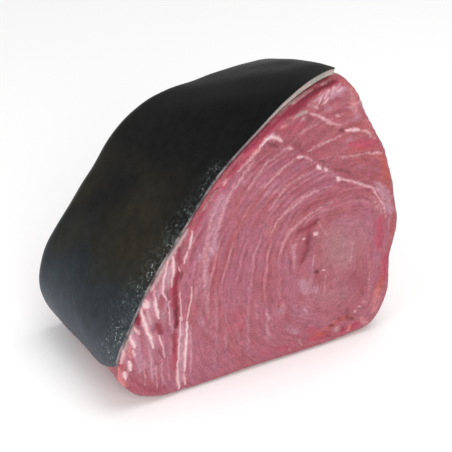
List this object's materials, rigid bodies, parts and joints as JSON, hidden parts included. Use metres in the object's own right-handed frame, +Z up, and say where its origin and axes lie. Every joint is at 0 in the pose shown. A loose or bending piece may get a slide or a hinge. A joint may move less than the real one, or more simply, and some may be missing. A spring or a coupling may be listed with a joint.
{
  "type": "raw tuna steak",
  "caption": "Thick raw tuna steak with dark skin on one side and a wide pink cut face with pale rings and fat lines, standing on a flat cut side.",
  "frame": {"origin": "the middle of the block's box, at the floor it stands on", "axes": "+Z up, -Y out of the wide cut face, +X to the right as that face is looked at"},
  "size_m": [0.1422, 0.0714, 0.1361],
  "materials": {
    "flesh": "moist raw fish flesh, satin with fine wet highlights",
    "skin": "smooth dark fish skin, satin"
  },
  "bodies": {
    "root": {"flesh": "flesh", "skin": "skin"}
  },
  "joints": []
}
